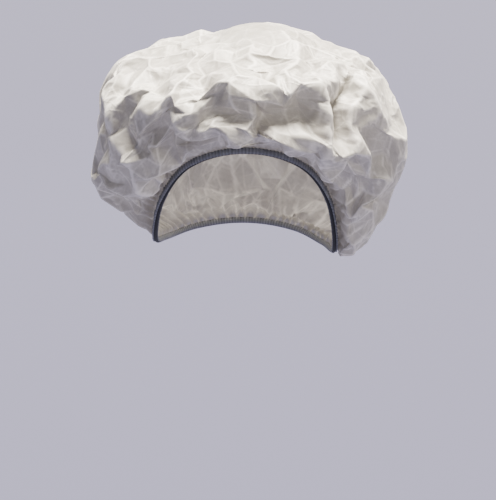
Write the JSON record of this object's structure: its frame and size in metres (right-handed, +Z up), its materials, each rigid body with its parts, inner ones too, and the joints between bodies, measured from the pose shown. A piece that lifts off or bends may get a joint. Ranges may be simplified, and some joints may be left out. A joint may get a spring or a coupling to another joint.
{
  "type": "disposable beret cap",
  "caption": "Disposable beret (bouffant) cap of thin white nonwoven cloth, puffed out as when worn, with its edge gathered into a narrow hem by a dark elastic.",
  "frame": {"origin": "the middle of the head opening, halfway in height between the opening's front and back edges", "axes": "+Z up as the cap is worn, -Y to the front of the cap, +X to the wearer's left; the head comes in from -Z"},
  "size_m": [0.2699, 0.2692, 0.2199],
  "materials": {
    "crown": "thin spunbond nonwoven, slightly see-through, crisp folds",
    "gathered_hem": "finely ruched nonwoven over the elastic",
    "elastic_loop": "dark covered elastic cord"
  },
  "bodies": {
    "root": {"crown": "crown", "gathered_hem": "gathered_hem", "elastic_loop": "elastic_loop"}
  },
  "joints": []
}
